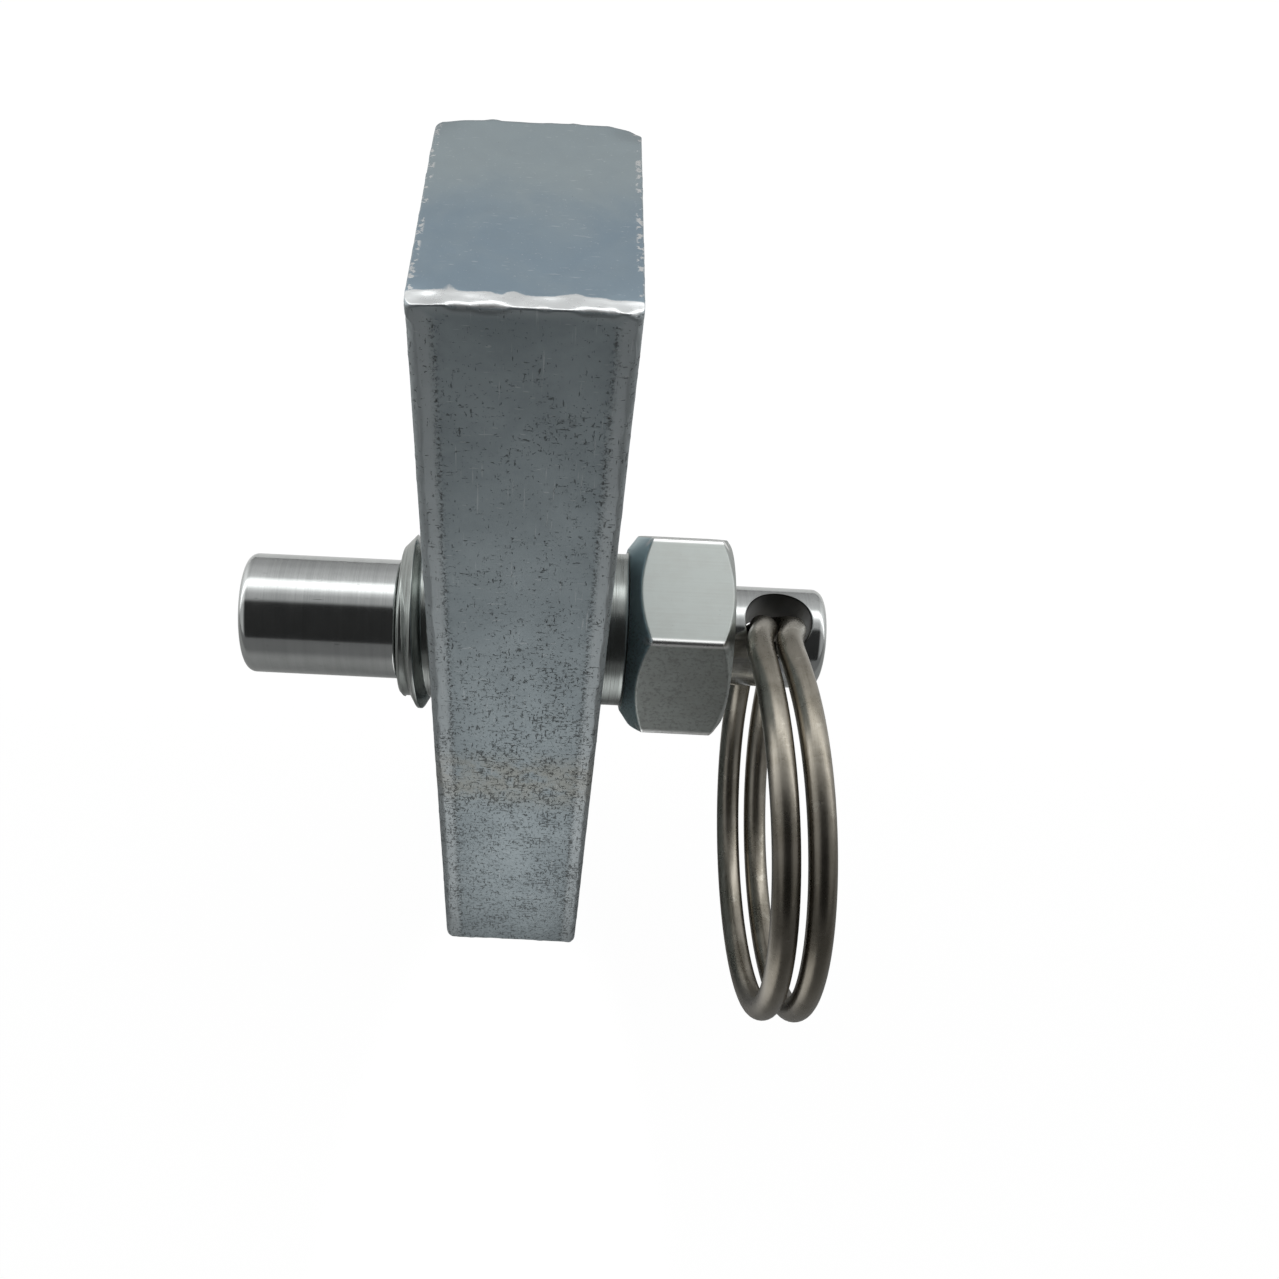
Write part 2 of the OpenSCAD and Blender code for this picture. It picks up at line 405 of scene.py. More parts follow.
def longEdgeHalf(x, y, half, edges):
    # half thickness at depth y: full, then a quarter circle of the edge's radius near front and back
    left, right = edges
    front = np.where(x < 0, left[0], right[0])
    back = np.where(x < 0, left[1], right[1])
    radius = np.where(y < 0, front, back)
    into = np.clip(radius - (half[1] - np.abs(y)), 0, radius)
    return half[0] - radius + np.sqrt(radius ** 2 - into ** 2)


def barBlock(values):
    # rows loop through the section, columns go round the outline; noise pushes points inward only
    half = values["half"]
    outline, normal = barOutline(half, values["corner"], 190, 84, 8)
    atEnd = normal[:, 1] ** 2
    endEdge = np.where(normal[:, 1] > 0, values["topEdge"], values["footEdge"])
    edge = values["sideEdge"] * (1 - atEnd) + endEdge * atEnd
    mouth = outline / np.linalg.norm(outline, axis=1, keepdims=True) * (values["hole"] + values["lead"])
    inner = outline - normal * edge[:, None]
    toMouth, toInner, toEdge, end, bend, sink = sectionRows(values)
    x = end * half[0] + bend * edge + sink
    y = toMouth * mouth[:, 0] + toInner * inner[:, 0] + toEdge * edge * normal[:, 0]
    z = toMouth * mouth[:, 1] + toInner * inner[:, 1] + toEdge * edge * normal[:, 1]
    x = x * longEdgeHalf(x, y, half, values["longEdges"]) / half[0]
    points = np.stack([x, y, z], -1)
    across = np.roll(points, -1, 0) - np.roll(points, 1, 0)
    around = np.roll(points, -1, 1) - np.roll(points, 1, 1)
    outward = np.cross(around, across)
    outward = outward / np.maximum(np.linalg.norm(outward, axis=2, keepdims=True), 1e-9)
    gap = np.abs(np.array([half[0], half[1], half[2]]) - np.abs(points))
    gap[..., 0] = np.abs(longEdgeHalf(x, y, half, values["longEdges"]) - np.abs(x))
    gap = np.sort(gap, axis=2)
    toEdgeLine = np.hypot(gap[..., 0], gap[..., 1])
    nearEdge = 1 - ease(toEdgeLine, 0.25, 1.0)
    endFace = ease(np.abs(outward[..., 2]), 0.55, 0.9)
    rough = 0.5 + 0.5 * layeredNoise(points, 5.0, 3)
    fine = np.clip(layeredNoise(points, 0.9, 11), 0, 1)
    lumps = 0.5 + 0.5 * layeredNoise(points, 1.7, 31, 2)
    ripple = values["ripple"] * (0.5 + 0.5 * layeredNoise(points, 7.0, 21, 2))
    chips = values["nicks"] * nearEdge * (fine + 0.6 * lumps) * (0.35 + 0.9 * rough)
    sunk = 0.12 * endFace * ease(toEdgeLine, 0.9, 2.2)
    frontTop = np.hypot(half[1] + y, half[2] - z)
    wobble = 0.5 + 0.5 * layeredNoise(points * np.array([1, 0, 0]), 1.5, 41, 3)
    jag = values["jag"] * (1 - ease(frontTop, 0.5, 1.5)) * np.clip(1.5 * wobble - 0.2, 0, 1)
    push = ripple + chips + sunk + jag
    points = points - outward * push[..., None]
    limit = np.array(half) - 0.001
    points = np.clip(points, -limit, limit)
    for (cornerX, cornerY), depth in values["blunt"]:
        away = np.hypot(points[..., 0] - cornerX, points[..., 1] - cornerY)
        drop = depth * np.clip(1 - away / values["bluntReach"], 0, 1) ** 2
        points[..., 2] -= drop * ease(z, half[2] - 6, half[2])
    fromFront = half[1] + y
    lipWide = 0.9 + 1.0 * lumps
    slope = values["lipDrop"] * np.clip(1 - fromFront / lipWide, 0, 1)
    slope = slope + 0.05 * fine * (1 - ease(fromFront, 1, 2))
    points[..., 2] -= slope * ease(z, half[2] - 3, half[2])
    points[..., 1] += pinY
    frontLip = 1 - ease(fromFront, 0.7 + 0.8 * lumps, 1.1 + 1.3 * lumps)
    lip = endFace * frontLip
    seam = np.exp(-((toEdgeLine - 0.75) / 0.22) ** 2) * (1 - endFace)
    seam = seam * np.where(np.abs(z) < half[2] - 1, 1, 0)
    fields = {"nearEdge": nearEdge, "endFace": endFace, "lip": lip, "seam": seam}
    return gridMesh("barBlock", points, True, fields)


# the threaded plunger body, in mm
bodyValues = {
    "front": bodyBox[0][0],
    "hexFront": 10.4,
    "hexBack": bodyBox[1][0],
    "crest": 8.95,
    "root": 7.65,
    "pitch": 2.5,
    "crestAt": -10.5,
    "crestFacing": 127,    # degrees about the pin's axis at which the crest stands there
    "flats": 19,
    "cornerAt": -43,
    "slope": 0.72,
    "frontCone": 8.2,
    "backCone": 9.2,
    "roundOver": 0.26,
    "bore": 6.05,
    "seat": 5.1,
}


def hexagonReach(angle, values):
    # distance from the axis to the hexagon's flats: the nearer of the two closest, rounded where they meet
    local = (np.degrees(angle) - values["cornerAt"]) % 60 - 30
    flat = values["flats"] / 2
    here = flat / np.cos(np.radians(local))
    beside = flat / np.cos(np.radians(60 - np.abs(local)))
    return softMin(here, beside, values["roundOver"])


def threadReach(x, angle, values):
    # a 60 degree ridge whose crest moves one pitch along for each turn
    pitch = values["pitch"]
    turns = (angle - math.radians(values["crestFacing"])) / (2 * math.pi)
    offset = (x - values["crestAt"]) / pitch - turns
    away = np.abs(offset - np.round(offset)) * pitch
    height = values["crest"] - values["root"]
    flank = height * math.tan(math.radians(30))
    ridge = np.clip(1 - (away - pitch / 16) / flank, 0, 1)
    ridge = softMin(ridge, 0 * ridge + 1, 0.12)
    return values["root"] + height * ridge


def plungerBody(values):
    # columns turn about the pin's axis, crowded at the hexagon's corners; rows run mouth, thread,
    # neck, hexagon, seat and bore, and close on themselves
    w = np.arange(60) / 30 - 1
    local = 30 * (w + 0.26 * np.sin(np.pi * w))
    angle = np.radians(np.concatenate([values["cornerAt"] + 30 + 60 * k + local for k in range(6)]))
    front, hexFront, hexBack = values["front"], values["hexFront"], values["hexBack"]
    root, bore, seat = values["root"], values["bore"], values["seat"]
    faceRows = np.concatenate([line((front + 0.25, bore), (front, bore + 0.3), 3),
                               line((front, bore + 0.3), (front, root - 0.25), 5)])
    threadX = run(front, -7.2, 74)[:, None]
    thread = np.minimum(threadReach(threadX, angle, values), root - 0.25 + (threadX - front) * 1.05)
    neckRows = np.concatenate([line((-7.2, root), (6, root), 4),
                               line((6, root), (hexFront - 0.3, root), 12),
                               arc((hexFront - 0.3, root + 0.3), 0.3, 270, 360, 4)])
    hexFace = line((hexFront, root + 0.3), (hexFront, values["frontCone"]), 4)
    hexX = np.concatenate([run(hexFront, 12.7, 28), run(12.7, 18.7, 12), run(18.7, hexBack, 22)])[:, None]
    frontSlope = values["frontCone"] + (hexX - hexFront) / values["slope"]
    backSlope = values["backCone"] + (hexBack - hexX) / values["slope"]
    chamfered = softMin(softMin(hexagonReach(angle, values), frontSlope, 0.16), backSlope, 0.16)
    onChamfer = ease(hexagonReach(angle, values) - frontSlope, -0.05, 0.12)
    backRows = np.concatenate([line((hexBack, values["backCone"]), (hexBack, seat + 0.4), 8),
                               line((hexBack, seat + 0.4), (hexBack - 0.4, seat), 3),
                               line((hexBack - 0.4, seat), (15.3, seat), 6),
                               line((15.3, seat), (15.3, 3.55), 2),
                               line((15.3, 3.55), (12.3, 3.55), 2),
                               line((12.3, 3.55), (12.3, bore), 2),
                               line((12.3, bore), (front + 0.25, bore), 8)])
    legs = [(faceRows[:, 0], faceRows[:, 1, None] + 0 * angle), (threadX[:, 0], thread),
            (neckRows[:, 0], neckRows[:, 1, None] + 0 * angle),
            (hexFace[:, 0], hexFace[:, 1, None] + 0 * angle),
            (hexX[:, 0], chamfered), (backRows[:, 0], backRows[:, 1, None] + 0 * angle)]
    station = np.concatenate([leg[0] for leg in legs])[:, None] + 0 * angle
    reach = np.concatenate([leg[1] for leg in legs])
    points = np.stack([station, pinY + reach * np.cos(angle), reach * np.sin(angle)], -1)
    steps = np.clip(hexagonReach(angle, values) - values["flats"] / 2 / math.cos(math.radians(27.5)), 0, 1)
    onFlats = ease(reach, values["flats"] / 2 + 0.3, values["flats"] / 2 + 0.9)
    # painted highlight: a bright band along the hexagon's corners, carried to the finish
    cornerHighlight = ease(steps, 0, 0.14) * onFlats * ease(station, hexFront + 0.6, hexFront + 1.6)
    turned = ((reach < values["root"] + 0.1) | (station < 0)).astype(float)
    tinted = np.zeros_like(station)
    before = sum(len(leg[0]) for leg in legs[:3])
    tinted[before:before + len(hexFace)] = 1
    tinted[before + len(hexFace):before + len(hexFace) + len(hexX)] = onChamfer
    fields = {"cornerHighlight": cornerHighlight, "turned": turned, "tinted": tinted}
    return gridMesh("plungerBody", points, True, fields)


# the sprung pin, in mm
pinValues = {
    "tip": pinBox[0][0],
    "radius": 6,
    "roundOver": 0.9,
    "reliefFront": -12.15,
    "reliefBack": -11.25,
    "relief": 0.3,
    "shoulder": -6.5,
    "stem": 3.5,
    "stemEnd": 15.33,
}


def lockingPin(values):
    # a profile from the tip's centre back to the stem's end, spun about the pin's axis
    tip, r, f = values["tip"], values["radius"], values["roundOver"]
    low = r - values["relief"]
    front, back, shoulder = values["reliefFront"], values["reliefBack"], values["shoulder"]
    profile = np.concatenate([
        line((tip, 0), (tip, r - f), 14),
        arc((tip + f, r - f), f, 180, 90, 12),
        line((tip + f, r), (front - 0.06, r), 60),
        line((front - 0.06, r), (front, low), 3),
        line((front, low), (back, low), 4),
        line((back, low), (back + 0.1, r), 3),
        line((back + 0.1, r), (shoulder - 0.2, r), 6),
        line((shoulder - 0.2, r), (shoulder, r - 0.2), 2),
        line((shoulder, r - 0.2), (shoulder, values["stem"]), 4),
        line((shoulder, values["stem"]), (values["stemEnd"], values["stem"]), 12),
        line((values["stemEnd"], values["stem"]), (values["stemEnd"], 0), 4),
        [[values["stemEnd"], 0]],
    ])
    return gridMesh("lockingPin", spin(profile, 160), False)


# the pull end with its cross-hole, in mm
pullValues = {
    "front": pullBox[0][0],
    "back": pullBox[1][0],
    "radius": 5,
    "roundOver": 1.0,
    "frontRound": 0.2,
    "eyeAt": 25.15,
    "eye": 3.2,
    "eyeRise": 68,      # degrees above the front horizontal
    "rim": 0.22,
}
rise = math.radians(pullValues["eyeRise"])
eyeAcross = np.array([0, math.sin(rise), math.cos(rise)])      # square to the pin and the hole
eyeAlong = np.array([0, -math.cos(rise), math.sin(rise)])      # up the hole


def pullSolid(x, w, h, values):
    # below 0 inside: a rod with round ends, less the hole, joined with a small rounding at the rims
    r = np.hypot(w, h)
    side = r - values["radius"]
    overBack = x - values["back"]
    overFront = values["front"] - x
    f, g = values["roundOver"], values["frontRound"]
    back = np.hypot(np.clip(side + f, 0, None), np.clip(overBack + f, 0, None)) - f
    back = np.maximum(back, np.maximum(side, overBack))
    front = np.hypot(np.clip(side + g, 0, None), np.clip(overFront + g, 0, None)) - g
    rod = np.maximum(back, np.maximum(front, overFront))
    hole = values["eye"] - np.hypot(x - values["eyeAt"], w)
    return -softMin(-rod, -hole, values["rim"])


def pullEnd(values):
    # columns go round the cross-hole, rows go round the wall's section; each point is found on a ray
    # from a ring inside the wall by halving the interval until it meets the surface
    columns = 288
    around = (np.arange(columns) * 2 * np.pi / columns)[None, :]
    ringR = values["eye"] + 0.85
    outX = np.where(np.cos(around) > 0, values["back"] - values["eyeAt"], values["eyeAt"] - values["front"])
    cosine = np.maximum(np.abs(np.cos(around)), 1e-6)
    sine = np.maximum(np.abs(np.sin(around)), 1e-6)
    far = np.minimum(outX / cosine, values["radius"] / sine)
    high = np.sqrt(np.clip(values["radius"] ** 2 - (values["eye"] * np.sin(around)) ** 2, 4, None))
    t = run(0, 1, 44, 0.75)[:, None]
    wallTarget = (values["eye"] + 0 * t + 0 * far, high * (2 * t - 1))
    topTarget = (values["eye"] + (far - values["eye"]) * t, high + 0 * t)
    outTarget = (far + 0 * t, high * (1 - 2 * t))
    lowTarget = (far - (far - values["eye"]) * t, -high + 0 * t)
    targets = (wallTarget, topTarget, outTarget, lowTarget)
    aimR = np.concatenate([target[0] for target in targets]) - ringR
    aimH = np.concatenate([target[1] for target in targets])
    size = np.hypot(aimR, aimH)
    aimR, aimH = aimR / size, aimH / size
    near, wide = 0 * aimR, 0 * aimR + 14.0
    for _ in range(40):
        middle = (near + wide) / 2
        rho = ringR + aimR * middle
        x, w = values["eyeAt"] + rho * np.cos(around), rho * np.sin(around)
        inside = (pullSolid(x, w, aimH * middle, values) < 0) & (rho > 0)
        near = np.where(inside, middle, near)
        wide = np.where(inside, wide, middle)
    rho = ringR + aimR * near
    x = values["eyeAt"] + rho * np.cos(around)
    w = rho * np.sin(around)
    h = aimH * near
    points = x[..., None] * np.array([1, 0, 0]) + w[..., None] * eyeAcross + h[..., None] * eyeAlong
    points[..., 1] += pinY
    # painted shade: marks the cross-hole's wall and rim, which the finish paints near black
    holeShade = 1 - ease(np.hypot(x - values["eyeAt"], w) - values["eye"], 0.02, 0.25)
    return gridMesh("pullEnd", points, True, {"holeShade": holeShade})


# the split ring, in mm and degrees of wind
ringValues = {
    "wire": 2.5,
    "outer": 40,
    "pitch": 3.1,
    "tilt": 10,
    "reach": 18.1,
    "drift": 0.44,
    "lean": -1.1,
    "skew": 0.22,
    "mouthBend": 1.95,
    "exitBend": -0.8,
    "bendAt": 14,
    "pinch": 0.18,
    "pinchAt": 25,
    "pinchSpan": 35,
    "first": 12,
    "last": 707,
    "wrapStep": 0.217,    # the wrap's length for one path point, and at the far end
    "wrapEnd": 239.0,
}


def splitRing(values):
    # two turns of a helix whose centre hangs off the cross-hole, bent aside where it threads the hole
    a = np.linspace(values["first"], values["last"], 1100)
    past = a - 360 * np.round(a / 360)
    turn, tilted = np.radians(a), np.radians(a + values["tilt"])
    middle = np.radians(values["tilt"])
    bends = values["mouthBend"] * np.exp(-((past - values["bendAt"]) / values["bendAt"]) ** 2)
    bends += values["exitBend"] * np.exp(-((past + values["bendAt"]) / values["bendAt"]) ** 2)
    x = values["drift"] + values["pitch"] * (a / 360 - 1) + values["lean"] * np.cos(turn)
    pinch = np.exp(-((past - values["pinchAt"]) / values["pinchSpan"]) ** 2)
    pinch = values["pinch"] * np.cos(turn / 2) * pinch
    x = x + values["skew"] * np.sin(turn) + bends + pinch
    r = (values["outer"] - values["wire"]) / 2
    w = r * np.cos(tilted) - values["reach"] * math.cos(middle)
    h = r * np.sin(tilted) - values["reach"] * math.sin(middle)
    path = np.stack([x, 0 * x, 0 * x], -1) + w[:, None] * eyeAcross + h[:, None] * eyeAlong
    path = path + np.array([pullValues["eyeAt"], pinY, 0])
    out = np.cos(tilted)[:, None] * eyeAcross + np.sin(tilted)[:, None] * eyeAlong
    radius = np.full(len(a), values["wire"] / 2 - 0.01)
    tube = sweep(path, out, radius, 30)
    starts, ends = endCap(tube[0]), endCap(tube[-1])
    points = np.concatenate([starts, tube, ends[::-1]])
    lengths = np.concatenate([
        np.full(len(starts), 0.0), np.arange(len(a)) * values["wrapStep"],
        np.full(len(ends), values["wrapEnd"])])
    lengths = lengths + np.arange(len(lengths)) * 1e-3
    return gridMesh("splitRing", points, False, lengths=lengths)


def endCap(circle):
    # flat cut end: the circle's points times growing shares of their distance from its middle
    middle = circle.mean(0)
    shares = np.array([0.0, 0.3, 0.6, 0.8, 0.93])[:, None, None]
    return middle + (circle - middle)[None] * shares


# the return spring, in mm
springValues = {
    "front": -5.9,
    "back": 11.7,
    "radius": 5.2,
    "wire": 1.1,
    "coils": 5.5,
    "closed": 0.8,
    "gap": 0.05,
}


def returnSpring(values):
    # a helix whose end coils lie flat and whose middle coils share the rest of the length
    t = np.linspace(0, values["coils"], 400)
    length = values["back"] - values["front"]
    share = values["closed"] * (values["wire"] + values["gap"]) / length
    knots = [0, values["closed"], values["coils"] - values["closed"], values["coils"]]
    along = values["front"] + length * np.interp(t, knots, [0, share, 1 - share, 1])
    out = np.stack([0 * t, np.cos(2 * np.pi * t), np.sin(2 * np.pi * t)], -1)
    path = values["radius"] * out + np.stack([along, 0 * t + pinY, 0 * t], -1)
    tube = sweep(path, out, np.full(len(t), values["wire"] / 2 - 0.01), 14)
    points = np.concatenate([endCap(tube[0])[:1], tube, endCap(tube[-1])[:1]])
    return gridMesh("returnSpring", points, False)


# finishes; colours are linear
zincValues = {
    "base": (0.345, 0.395, 0.415),
    "dull": (0.285, 0.33, 0.35),
    "blue": (0.30, 0.385, 0.455),
    "endGrey": (0.40, 0.465, 0.49),
    "stain": (0.37, 0.355, 0.30),
    "pit": (0.07, 0.072, 0.07),
    "bare": (0.86, 0.88, 0.88),
    "stainHeight": -0.010,
}


def zincBlockFinish(values):
    # dull plated bar: soft clouds, short scratches and small pits that thicken downward, a faint stain
    # band, bluer sheared ends with a bright rolled lip, and speckled long edges
    finish = Finish(bpy.data.materials.new("dullZinc"))
    where = finish.coords()
    y = finish.part(where, 1)
    z = finish.part(where, 2)
    clouds = finish.noise(where, 170, 4.0, 0.6, 0.4)
    patches = finish.noise(where, 620, 5.0, 0.65)
    grain = finish.noise(where, 3600, 3.0, 0.7)
    scratchA = finish.noise(finish.coords((5200, 5200, 260), (0.3, 0.5, 0)), 1.0, 1.0, 0.4)
    scratchB = finish.noise(finish.coords((900, 5200, 5600), (0.1, -0.25, 0.3)), 1.0, 1.0, 0.4)
    scratches = finish.between(scratchA.larger(scratchB), 0.70, 0.78)
    low = finish.between(z, 0.020, -0.010)
    end = finish.carried("endFace")
    lip = finish.carried("lip")
    worn = finish.carried("nearEdge")
    across = finish.noise(finish.coords((1100, 2200, 3800), (0, 0.15, 0)), 1.0, 3.0, 0.65)
    down = finish.noise(finish.coords((3800, 2200, 1000), (0, -0.1, 0)), 1.0, 3.0, 0.65)
    spots = finish.noise(where, 2600, 3.0, 0.65)
    crowd = finish.noise(where, 300, 4.0, 0.6, 0.5)
    need = 0.735 - crowd * 0.20 - low * 0.045 + end * 0.15
    marks = across.larger(down).larger(spots)
    pits = finish.between(marks - need, -0.015, 0.045)
    smudge = finish.between(crowd * 0.7 + clouds * 0.3, 0.62, 0.70) * (1 - end)
    speckle = finish.between(grain * 0.5 + spots * 0.5, 0.47, 0.58)
    seam = finish.carried("seam") * speckle
    lipNoise = finish.noise(where, 1500, 3.0, 0.6)
    dots = finish.between(worn, 0.55, 0.9) * end * finish.between(lipNoise, 0.53, 0.60)
    bright = finish.between(lip * (0.55 + lipNoise), 0.34, 0.66).larger(dots)
    band = finish.between(z - values["stainHeight"], -0.006, -0.001) * finish.between(
        z - values["stainHeight"], 0.006, 0.002) * finish.between(patches, 0.30, 0.62)
    tone = finish.between(clouds * 0.6 + patches * 0.4, 0.36, 0.62)
    endTone = finish.between(clouds * 0.5 + finish.between(y, -0.019, -0.003) * 0.35, 0.16, 0.60)
    colour = finish.mix(tone, values["dull"], values["base"])
    colour = finish.mix(end * 0.9, colour, finish.mix(endTone, values["blue"], values["endGrey"]))
    colour = finish.mix(band * 0.5, colour, values["stain"])
    colour = finish.mix(worn * (1 - end) * 0.22, colour, values["bare"])
    colour = finish.mix(scratches * 0.2, colour, values["bare"])
    colour = finish.mix(smudge * 0.25, colour, values["pit"])
    colour = finish.mix(pits * 0.55, colour, values["pit"])
    colour = finish.mix(seam * 0.75, colour, values["pit"])
    colour = finish.mix(bright * 0.95, colour, values["bare"])
    rough = (0.42 + patches * 0.14 + grain * 0.08 + pits * 0.15 - bright * 0.2 - end * 0.04).clamped()
    height = clouds * 0.3 + patches * 0.22 + grain * 0.16 - pits * 0.6 - scratches * 0.12 - seam * 0.8
    return finish.surface({
        "Base Color": colour, "Metallic": 1.0, "Roughness": rough,
        "Normal": finish.bump(height, 0.00006, 0.5)})


bodyTones = {
    "base": (0.40, 0.43, 0.415),
    "dull": (0.35, 0.37, 0.355),
    "dirt": (0.12, 0.12, 0.11),
    # colour of the painted highlight along the hexagon's corners
    "bright": (0.95, 0.96, 0.95),
    "teal": (0.66, 0.84, 0.90),
}


def zincBodyFinish(values):
    # brighter plating: marks along the flats, turning lines round the neck and thread, and a painted
    # highlight along the hexagon's corners
    finish = Finish(bpy.data.materials.new("brightZinc"))
    where = finish.coords()
    turned = finish.carried("turned")
    corner = finish.carried("cornerHighlight")
    alongMarks = finish.noise(finish.coords((90, 3800, 3800)), 1.0, 4.0, 0.65)
    turnMarks = finish.noise(finish.coords((9000, 150, 150)), 1.0, 3.0, 0.6)
    marks = turnMarks * turned + alongMarks * (1 - turned)
    clouds = finish.noise(where, 330, 4.0, 0.6, 0.3)
    grain = finish.noise(where, 5200, 2.0, 0.6)
    speck = finish.between(finish.noise(where, 2300, 3.0, 0.6), 0.70, 0.78)
    lower = finish.between(finish.part(where, 2), 0.0078, 0.0068) * (1 - turned)
    etch = finish.noise(finish.coords((2600, 3600, 3600)), 1.0, 3.0, 0.7)
    etched = finish.between(etch, 0.50, 0.60) * lower
    tinted = finish.carried("tinted")
    tone = finish.between(marks * 0.4 + clouds * 0.6, 0.34, 0.62)
    colour = finish.mix(tone, values["dull"], values["base"])
    colour = finish.mix(turned * finish.between(turnMarks, 0.50, 0.60) * 0.45, colour, values["dirt"])
    colour = finish.mix(tinted * 0.7, colour, values["teal"])
    colour = finish.mix((speck * 0.4).larger(etched * 0.3), colour, values["dirt"])
    # painted highlight: the hexagon's corners are painted near white
    colour = finish.mix(corner * 0.9, colour, values["bright"])
    rough = (0.27 + marks * 0.12 + clouds * 0.10 - corner * 0.1 - turned * 0.14 + etched * 0.1).clamped()
    height = marks * (0.25 + turned * 0.35) + grain * 0.15 - speck * 0.5 + clouds * 0.15 - etched * 0.4
    return finish.surface({
        "Base Color": colour, "Metallic": 1.0, "Roughness": rough,
        "Normal": finish.bump(height, 0.00002, 0.3)})


polishValues = {
    "base": (0.62, 0.64, 0.635),
    "dull": (0.53, 0.55, 0.545),
    "dark": (0.05, 0.05, 0.048),
}


def polishedFinish(name, values, holeShade):
    # ground steel: close lines round the pin's axis, a few faint marks; the cross-hole is turned and
    # rougher, and its inside is painted near black as painted shade
    finish = Finish(bpy.data.materials.new(name))
    where = finish.coords()
    ground = finish.noise(finish.coords((14000, 60, 60)), 1.0, 2.0, 0.6)
    bands = finish.noise(finish.coords((1500, 40, 40)), 1.0, 3.0, 0.6)
    clouds = finish.noise(where, 420, 3.0, 0.55)
    faint = finish.noise(finish.coords((700, 6000, 6000), (0.2, 0.1, 0.4)), 1.0, 2.0, 0.5)
    marks = finish.between(faint, 0.70, 0.78)
    tone = finish.between(ground * 0.4 + bands * 0.3 + clouds * 0.3, 0.36, 0.60)
    colour = finish.mix(tone, values["dull"], values["base"])
    colour = finish.mix(marks * 0.35, colour, values["dark"])
    rough = (0.07 + ground * 0.06 + clouds * 0.08).clamped()
    height = ground * 0.5 + bands * 0.3 - marks * 0.4
    if holeShade:
        inside = finish.carried("holeShade")
        # painted shade: the cross-hole's wall and rim are painted near black
        colour = finish.mix(inside * 0.92, colour, values["dark"])
        rough = rough + inside * 0.2
    return finish.surface({
        "Base Color": colour, "Metallic": 1.0, "Roughness": rough,
        "Normal": finish.bump(height, 0.000012, 0.35)})


ringTones = {
    "base": (0.37, 0.345, 0.295),
    "dark": (0.24, 0.22, 0.18),
    "bare": (0.55, 0.53, 0.47),
    # colour of the painted shade that darkens the ring's far side
    "paintedFarShade": (0.14, 0.125, 0.10),
    "paintedShadeStart": -0.034,    # along Y, where the far side's painted shade begins and is full
    "paintedShadeFull": -0.046,
}


def ringFinish(values):
    # dark spring wire: warm clouds, drawing lines along the wire, rubbed spots, and painted shade that
    # darkens the far side
    finish = Finish(bpy.data.materials.new("ringWire"))
    where = finish.coords()
    drawn = finish.noise(finish.wrap((120, 0.25, 1)), 1.0, 3.0, 0.6)
    clouds = finish.noise(where, 260, 4.0, 0.6, 0.3)
    grain = finish.noise(where, 3600, 3.0, 0.65)
    rubbed = finish.between(finish.noise(where, 620, 3.0, 0.6), 0.58, 0.70)
    specks = finish.between(finish.noise(where, 1900, 2.0, 0.6), 0.70, 0.77)
    tone = finish.between(clouds * 0.6 + drawn * 0.25 + grain * 0.15, 0.36, 0.62)
    colour = finish.mix(tone, values["dark"], values["base"])
    colour = finish.mix(rubbed * 0.3, colour, values["bare"])
    colour = finish.mix(specks * 0.5, colour, values["dark"])
    # painted shade: the wire is darkened towards the far side (more negative Y), standing in for shade
    # there
    farSideShade = finish.between(finish.part(where, 1), values["paintedShadeStart"], values["paintedShadeFull"])
    colour = finish.mix(farSideShade * 0.6, colour, values["paintedFarShade"])
    rough = (0.20 + clouds * 0.10 + grain * 0.08 - rubbed * 0.05).clamped()
    height = drawn * 0.3 + grain * 0.35 + clouds * 0.3 - specks * 0.5
    return finish.surface({
        "Base Color": colour, "Metallic": 1.0, "Roughness": rough,
        "Normal": finish.bump(height, 0.00004, 0.45)})


def springFinish():
    # grey spring wire with faint scale
    finish = Finish(bpy.data.materials.new("springWire"))
    where = finish.coords()
    scale = finish.noise(where, 900, 4.0, 0.6)
    colour = finish.mix(finish.between(scale, 0.38, 0.62), (0.24, 0.24, 0.245), (0.42, 0.42, 0.43))
    rough = (0.28 + scale * 0.2).clamped()
    return finish.surface({
        "Base Color": colour, "Metallic": 1.0, "Roughness": rough,
        "Normal": finish.bump(scale, 0.00003, 0.4)})


polished = polishedFinish("polishedSteel", polishValues, False)
polishedEye = polishedFinish("polishedSteelEye", polishValues, True)
settle(barBlock(blockValues), zincBlockFinish(zincValues), "block", "mounting_block")
settle(plungerBody(bodyValues), zincBodyFinish(bodyTones), "block", "plunger_body")
settle(lockingPin(pinValues), polished, "pin", "locking_pin")
settle(pullEnd(pullValues), polishedEye, "pull", "pull_end")
settle(splitRing(ringValues), ringFinish(ringTones), "ring", "split_ring")
spring = returnSpring(springValues)
settle(spring, springFinish(), "block", "return_spring")
pinY * mm
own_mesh(spring)


# floor and light
stageValues = {
    "floorZ": cadBox[0][2],
    "floorSize": 3.0,
    "behindTone": (0.86, 0.86, 0.85),
    # painted shadow tones of the floor in front of the piece, near and far
    "nearShadowTone": (0.40, 0.40, 0.395),
    "farShadowTone": (0.22, 0.22, 0.22),
    "seen": 0.93,       # share of the floor that the camera sees as even glow
    "floorGlow": 1.05,
    "backdrop": 0.97,
    "arch": [(-0.2, 0.025), (0.375, 0.03), (0.42, 0.46), (0.47, 0.5), (0.515, 0.8), (0.56, 1.8),
             (0.60, 2.4), (0.635, 1.8), (0.675, 0.72), (0.77, 0.58), (0.9, 0.42), (1.0, 0.35)],
    "leftPanel": 0.5,
    "rightPanel": 0.4,
    "cardAt": (0.0, -0.078, 0.0),       # middle of the bright patch in front of the block
    "cardSize": (0.017, 0.056, 1.0),    # its half sizes
    "cardGlow": 1.15,
}


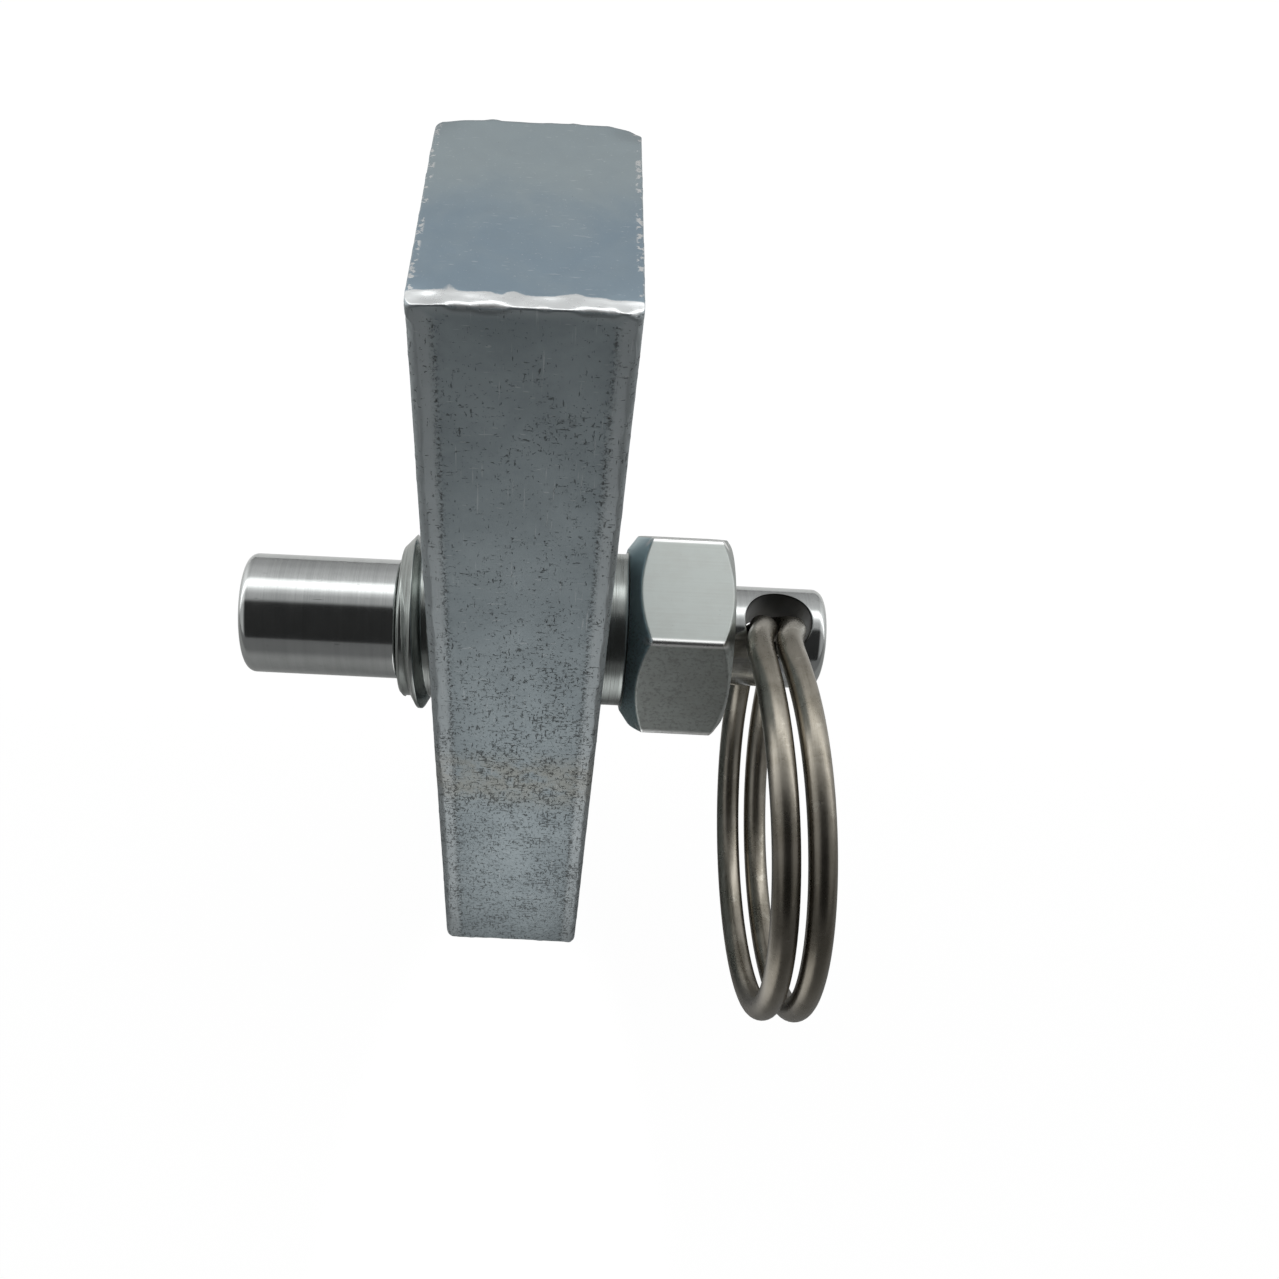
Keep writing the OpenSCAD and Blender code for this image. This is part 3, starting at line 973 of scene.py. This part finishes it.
def makeFloor(values):
    # the camera sees an almost white sheet; reflections and light see one that is pale behind the
    # piece and darkens towards the front with painted shadow, with a glowing patch before the block
    half = values["floorSize"] / 2
    mesh = bpy.data.meshes.new("floor")
    corners = [(-half, -half), (half, -half), (half, half), (-half, half)]
    mesh.from_pydata([(x, y, values["floorZ"]) for x, y in corners], [], [(0, 1, 2, 3)])
    floor = bpy.data.objects.new("floor", mesh)
    bpy.context.scene.collection.objects.link(floor)
    finish = Finish(bpy.data.materials.new("paleFloor"))
    y = finish.part(finish.coords(), 1)
    # painted shadow: for reflections and light the floor darkens in front of the piece, most far in front
    tone = finish.mix(finish.between(y, -0.105, -0.055), values["farShadowTone"], values["nearShadowTone"])
    tone = finish.mix(finish.between(y, -0.005, 0.05), tone, values["behindTone"])
    diffuse = finish.node("ShaderNodeBsdfDiffuse", values={"Color": tone})
    offset = finish.node("ShaderNodeVectorMath", {"operation": "SUBTRACT"}, {
        0: finish.coords(), 1: values["cardAt"]})
    scaled = finish.node("ShaderNodeVectorMath", {"operation": "DIVIDE"}, {
        0: offset, 1: values["cardSize"]})
    level = finish.node("ShaderNodeVectorMath", {"operation": "MULTIPLY"}, {0: scaled, 1: (1, 1, 0)})
    away = finish.node("ShaderNodeVectorMath", {"operation": "LENGTH"}, {0: level}, out="Value")
    patch = finish.node("ShaderNodeEmission", values={
        "Color": (1.0, 1.0, 1.0), "Strength": finish.between(away, 1.25, 0.5) * values["cardGlow"]})
    plain = finish.node("ShaderNodeAddShader", values={0: diffuse, 1: patch})
    glow = finish.node("ShaderNodeEmission", values={
        "Color": (1.0, 1.0, 1.0), "Strength": values["floorGlow"]})
    seen = finish.node("ShaderNodeLightPath", out="Is Camera Ray")
    shader = finish.node("ShaderNodeMixShader", values={0: seen * values["seen"], 1: plain, 2: glow})
    finish.output(shader)
    mesh.materials.append(finish.owner)


def lightWorld(values):
    # reflections and light see an arch, bright overhead and behind and dark in front, with a side
    # panel on each hand; the camera sees an even backdrop instead
    world = bpy.data.worlds.new("studio")
    bpy.context.scene.world = world
    finish = Finish(world)
    where = finish.node("ShaderNodeTexCoord", out="Generated")
    up = finish.part(where, 2)
    ahead = finish.part(where, 1)
    angle = finish.node("ShaderNodeMath", {"operation": "ARCTAN2"}, {0: up, 1: ahead * -1.0})
    share = angle / math.pi
    level = 0.0
    stops = values["arch"]
    for (a, la), (b, lb) in zip(stops[:-1], stops[1:]):
        level = level + finish.between(share, a, b) * (lb - la)
    side = finish.part(where, 0)
    level = level + stops[0][1]
    level = level + finish.between(side, -0.35, -0.75) * values["leftPanel"]
    level = level + finish.between(side, 0.40, 0.80) * values["rightPanel"]
    seen = finish.node("ShaderNodeLightPath", out="Is Camera Ray")
    light = finish.node("ShaderNodeBackground", values={"Color": (1.0, 1.0, 1.0), "Strength": level})
    plain = finish.node("ShaderNodeBackground", values={
        "Color": (1.0, 1.0, 1.0), "Strength": values["backdrop"]})
    finish.output(finish.node("ShaderNodeMixShader", values={0: seen, 1: light, 2: plain}),
                  "ShaderNodeOutputWorld")


makeFloor(stageValues)
lightWorld(stageValues)
print("floor and light made")
